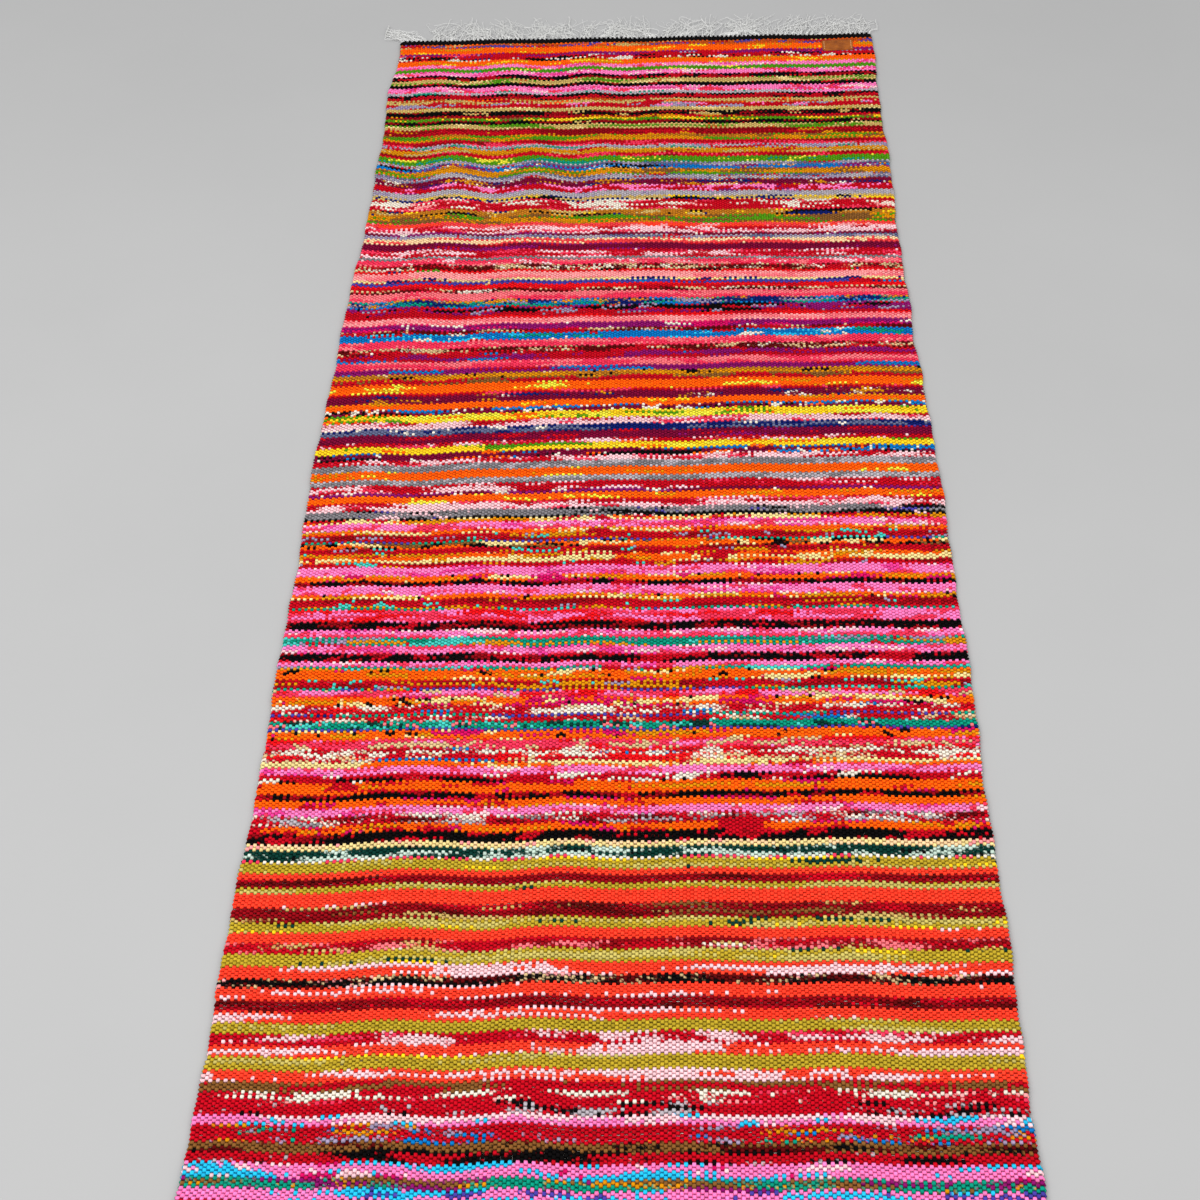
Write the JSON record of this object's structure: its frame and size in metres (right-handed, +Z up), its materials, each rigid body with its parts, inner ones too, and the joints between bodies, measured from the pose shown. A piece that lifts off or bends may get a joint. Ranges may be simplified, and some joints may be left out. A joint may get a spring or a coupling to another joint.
{
  "type": "runner rug",
  "caption": "Long flat-woven striped cotton runner rug with black headings, loose warp fringes and a blank stitched leather label.",
  "frame": {"origin": "centre of the rug on the floor", "axes": "+X across the rug, +Y along it towards the label end, +Z up from the floor"},
  "size_m": [0.75, 2.14, 0.0069],
  "materials": {
    "yarn_red": "matte spun cotton",
    "yarn_pink": "matte spun cotton",
    "yarn_orange": "matte spun cotton",
    "yarn_gold": "matte spun cotton",
    "yarn_green": "matte spun cotton",
    "yarn_blue": "matte spun cotton",
    "yarn_plum": "matte spun cotton",
    "yarn_grey": "matte spun cotton",
    "cotton_warp": "matte twisted cotton",
    "cotton_fringe": "fluffy untwisted cotton",
    "black_twine": "matte twined cotton",
    "tan_leather": "satin vegetable tan",
    "label_thread": "waxed thread"
  },
  "bodies": {
    "near_half": {"weft_band_20": "yarn_red", "weft_band_21": "yarn_gold", "weft_band_22": "yarn_pink", "weft_band_23": "yarn_orange", "weft_band_24": "yarn_pink", "weft_band_25": "yarn_orange", "weft_band_26": "yarn_green", "weft_band_27": "yarn_red", "weft_band_28": "yarn_orange", "weft_band_29": "yarn_gold", "weft_band_30": "yarn_red", "warp_near_half": "cotton_warp"},
    "far_half": {"weft_band_09": "yarn_green", "weft_band_10": "yarn_red", "weft_band_11": "yarn_pink", "weft_band_12": "yarn_plum", "weft_band_13": "yarn_pink", "weft_band_14": "yarn_blue", "weft_band_15": "yarn_orange", "weft_band_16": "yarn_gold", "weft_band_17": "yarn_blue", "weft_band_18": "yarn_grey", "weft_band_19": "yarn_orange", "warp_far_half": "cotton_warp"},
    "far_end": {"weft_band_01": "yarn_orange", "weft_band_02": "yarn_pink", "weft_band_03": "yarn_gold", "weft_band_04": "yarn_red", "weft_band_05": "yarn_green", "weft_band_06": "yarn_red", "weft_band_07": "yarn_gold", "weft_band_08": "yarn_grey", "warp_far_end": "cotton_warp", "heading_far": "black_twine", "fringe_far": "cotton_fringe", "leather_label": "tan_leather", "label_stitches": "label_thread"},
    "near_end": {"weft_band_31": "yarn_red", "weft_band_32": "yarn_gold", "weft_band_33": "yarn_red", "weft_band_34": "yarn_red", "weft_band_35": "yarn_pink", "weft_band_36": "yarn_pink", "weft_band_37": "yarn_gold", "weft_band_38": "yarn_orange", "warp_near_end": "cotton_warp", "heading_near": "black_twine", "fringe_near": "cotton_fringe"}
  },
  "joints": [
    {"name": "near_end_fold", "type": "hinge", "parent": "near_half", "child": "near_end", "pos_m": [0, -0.555, 0.0075], "axis": [-1, 0, 0], "range_deg": [0, 180]},
    {"name": "middle_fold", "type": "hinge", "parent": "near_half", "child": "far_half", "pos_m": [0, 0.00263, 0.0155], "axis": [1, 0, 0], "range_deg": [0, 180]},
    {"name": "far_end_fold", "type": "hinge", "parent": "far_half", "child": "far_end", "pos_m": [0, 0.555, 0.0075], "axis": [1, 0, 0], "range_deg": [0, 180]}
  ]
}
